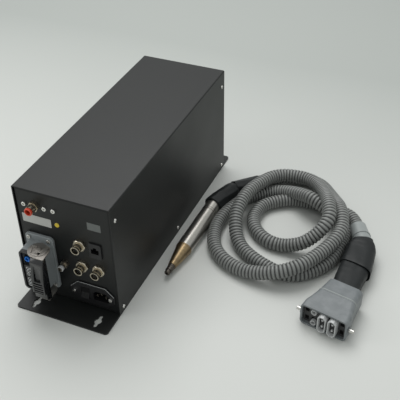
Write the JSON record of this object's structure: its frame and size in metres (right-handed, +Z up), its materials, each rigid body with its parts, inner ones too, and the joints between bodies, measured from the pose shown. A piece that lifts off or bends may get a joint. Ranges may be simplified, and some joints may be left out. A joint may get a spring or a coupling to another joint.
{
  "type": "plasma surface treater",
  "caption": "Bench supply for atmospheric plasma surface treatment: black steel case with connector panel and a torch on a corrugated hose that ends in a rectangular plug.",
  "frame": {"origin": "on the bench under the middle of the case's front edge", "axes": "+Z up, -Y out of the connector panel towards the user, +X to the user's right"},
  "size_m": [0.4733, 0.4849, 0.194],
  "materials": {
    "case_paint": "fine satin powder coat",
    "black_steel": "blackened steel",
    "bright_steel": "satin zinc plate",
    "nickel": "warm nickel plate",
    "brass": "satin",
    "red_plastic": "satin",
    "label_white": "matt film",
    "lamp_yellow": "clear lens",
    "display_glass": "dull glass",
    "board_green": "lacquered laminate",
    "insert_black": "matt",
    "inlet_plastic": "satin",
    "rocker_plastic": "satin",
    "die_cast": "grey powder coat on die casting",
    "seal_rubber": "matt",
    "lever_steel": "satin grey",
    "grip_plastic": "satin",
    "frame_zinc": "cast zinc",
    "blue_plastic": "satin",
    "core_iron": "varnished laminations",
    "copper": "enamelled copper",
    "fin_aluminium": "extruded",
    "tube_blue": "smooth",
    "rotor_plastic": "satin",
    "nozzle_dark": "dark oxide",
    "cone_bronze": "heat tinted bronze",
    "barrel_steel": "brushed along the barrel",
    "ceramic_white": "fired",
    "shrink_black": "matt heat-shrink",
    "hose_grey": "satin corrugated polyamide",
    "cuff_grey": "satin",
    "contact_grey": "satin"
  },
  "bodies": {
    "case": {"base_plate": "case_paint", "front_panel": "case_paint", "rear_panel": "case_paint", "top_cover": "case_paint", "cover_screws": "black_steel", "panel_screws": "black_steel", "air_inlet_body": "nickel", "label_plate": "label_white", "status_lamp": "lamp_yellow", "display_window": "display_glass", "display_board": "board_green", "port_a_shell": "nickel", "port_b_shell": "nickel", "port_c_shell": "nickel", "port_inserts": "insert_black", "network_port": "nickel", "vent_fitting": "brass", "vent_fitting_ring": "insert_black", "power_inlet": "inlet_plastic", "power_pins": "brass", "inlet_screws": "black_steel", "socket_housing": "die_cast", "socket_gasket": "seal_rubber", "socket_screws": "bright_steel", "lever_pivots": "bright_steel", "socket_frame": "frame_zinc", "signal_module": "insert_black", "high_voltage_module": "insert_black", "air_module": "insert_black", "transformer_core": "core_iron", "transformer_coils": "copper", "inverter_board": "board_green", "board_standoffs": "brass", "heat_sink": "fin_aluminium", "supply_module": "bright_steel", "pressure_regulator": "insert_black", "inner_air_tube": "tube_blue", "fan_frame": "insert_black", "fan_guard": "bright_steel"},
    "release_collar": {"release_collar": "red_plastic"},
    "air_module_ring": {"air_module_ring": "blue_plastic"},
    "power_rocker": {"power_rocker": "rocker_plastic"},
    "locking_lever": {"lever_arms": "lever_steel", "lever_grip": "grip_plastic"},
    "fan_rotor": {"fan_rotor": "rotor_plastic"},
    "torch_lead": {"torch_nozzle": "nozzle_dark", "torch_cone": "cone_bronze", "torch_barrel": "barrel_steel", "torch_insulator": "ceramic_white", "torch_electrode": "copper", "torch_sleeve": "shrink_black", "tail_sleeve": "shrink_black", "hose_coil": "hose_grey", "hose_run": "hose_grey", "hose_cuff": "cuff_grey", "plug_sleeve": "shrink_black", "plug_hood": "die_cast", "plug_pegs": "bright_steel", "plug_frame": "insert_black", "plug_contacts": "contact_grey"}
  },
  "joints": [
    {"name": "release_collar_press", "type": "slide", "parent": "case", "child": "release_collar", "axis": [0, 1, 0], "range_m": [0, 0.0012], "stiffness_N_per_m": 400},
    {"name": "air_ring_press", "type": "slide", "parent": "case", "child": "air_module_ring", "axis": [0, 1, 0], "range_m": [0, 0.001], "stiffness_N_per_m": 400},
    {"name": "rocker_tip", "type": "hinge", "parent": "case", "child": "power_rocker", "pos_m": [0.0215, 0.004, 0.0284], "axis": [1, 0, 0], "range_deg": [0, 16]},
    {"name": "lever_swing", "type": "hinge", "parent": "case", "child": "locking_lever", "pos_m": [-0.0415, -0.017, 0.0715], "axis": [0, 0, 1], "range_deg": [-65, 18]},
    {"name": "fan_spin", "type": "hinge", "parent": "case", "child": "fan_rotor", "pos_m": [0.015, 0.391, 0.11], "axis": [0, 1, 0], "continuous": true},
    {"name": "lead_lift", "type": "slide", "parent": "case", "child": "torch_lead", "axis": [0, 0, 1], "range_m": [0, 0.3]}
  ]
}
